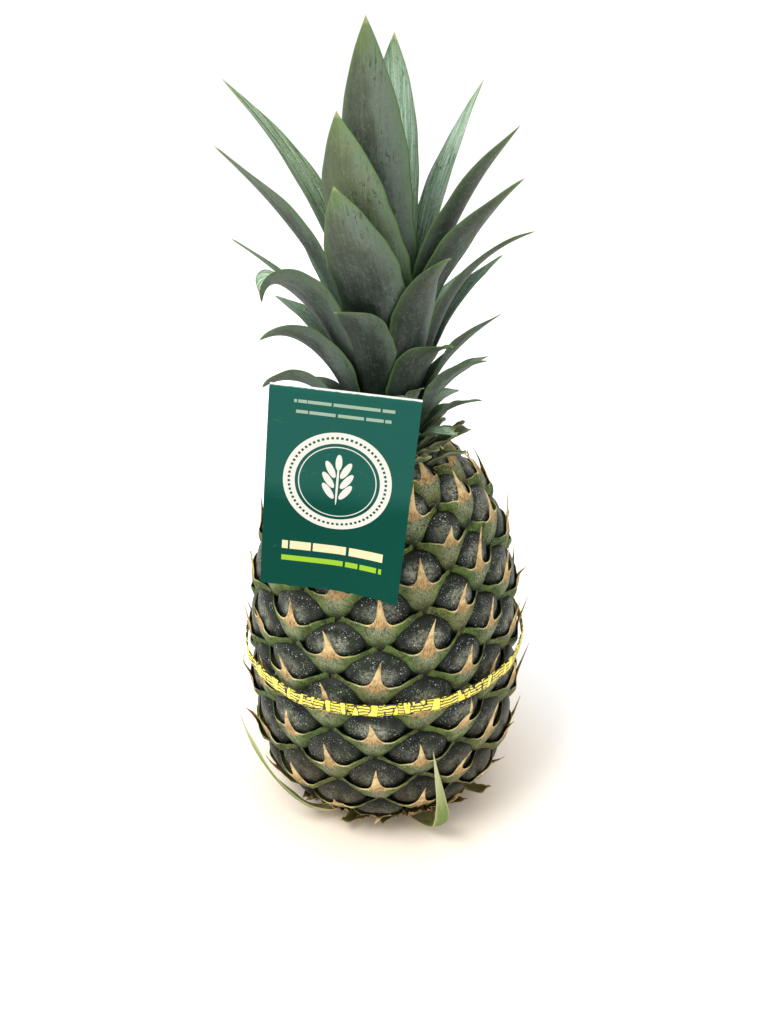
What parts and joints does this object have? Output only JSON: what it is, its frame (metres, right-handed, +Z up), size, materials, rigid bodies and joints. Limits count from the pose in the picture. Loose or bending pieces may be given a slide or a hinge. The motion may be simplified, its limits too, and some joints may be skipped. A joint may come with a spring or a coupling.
{
  "type": "pineapple",
  "caption": "Whole pineapple standing on its base, with a spiny rind, a full crown of leaves, a folded card tag tied to the crown and an elastic band round the fruit.",
  "frame": {"origin": "centre of the flat spot under the fruit, where it stands on the floor", "axes": "+Z up along the fruit's axis to the crown; the front, with the tag, faces -Y; +X to the right seen from the front"},
  "size_m": [0.1408, 0.1385, 0.355],
  "materials": {
    "rind": "matte",
    "stalk": "matte",
    "stem": "matte",
    "leaf": "satin",
    "dry_leaf": "matte",
    "card": "gloss",
    "band": "satin",
    "elastic": "satin"
  },
  "bodies": {
    "root": {"fruit": "rind", "stalk_stub": "stalk", "crown_stem": "stem", "crown_leaf_01": "leaf", "crown_leaf_02": "leaf", "crown_leaf_03": "leaf", "crown_leaf_04": "leaf", "crown_leaf_05": "leaf", "crown_leaf_06": "leaf", "crown_leaf_07": "leaf", "crown_leaf_08": "leaf", "crown_leaf_09": "leaf", "crown_leaf_10": "leaf", "crown_leaf_11": "leaf", "crown_leaf_12": "leaf", "crown_leaf_13": "leaf", "crown_leaf_14": "leaf", "crown_leaf_15": "leaf", "crown_leaf_16": "leaf", "crown_leaf_17": "leaf", "crown_leaf_18": "leaf", "crown_leaf_19": "leaf", "crown_leaf_20": "leaf", "crown_leaf_21": "leaf", "crown_leaf_22": "leaf", "crown_leaf_23": "leaf", "crown_leaf_24": "leaf", "crown_leaf_25": "leaf", "crown_leaf_26": "leaf", "crown_leaf_27": "leaf", "crown_leaf_28": "leaf", "crown_leaf_29": "leaf", "crown_leaf_30": "leaf", "crown_leaf_31": "leaf", "crown_leaf_32": "leaf", "crown_leaf_33": "leaf", "crown_leaf_34": "leaf", "crown_leaf_35": "leaf", "crown_leaf_36": "leaf", "crown_leaf_37": "leaf", "crown_leaf_38": "leaf", "crown_leaf_39": "leaf", "crown_leaf_40": "leaf", "crown_leaf_41": "leaf", "crown_leaf_42": "leaf", "crown_leaf_43": "leaf", "crown_leaf_44": "leaf", "base_bract_1": "dry_leaf", "base_bract_2": "dry_leaf", "base_bract_3": "dry_leaf", "base_bract_4": "dry_leaf", "base_bract_5": "dry_leaf", "printed_band": "band", "hang_tag": "card", "elastic_tie": "elastic"}
  },
  "joints": []
}
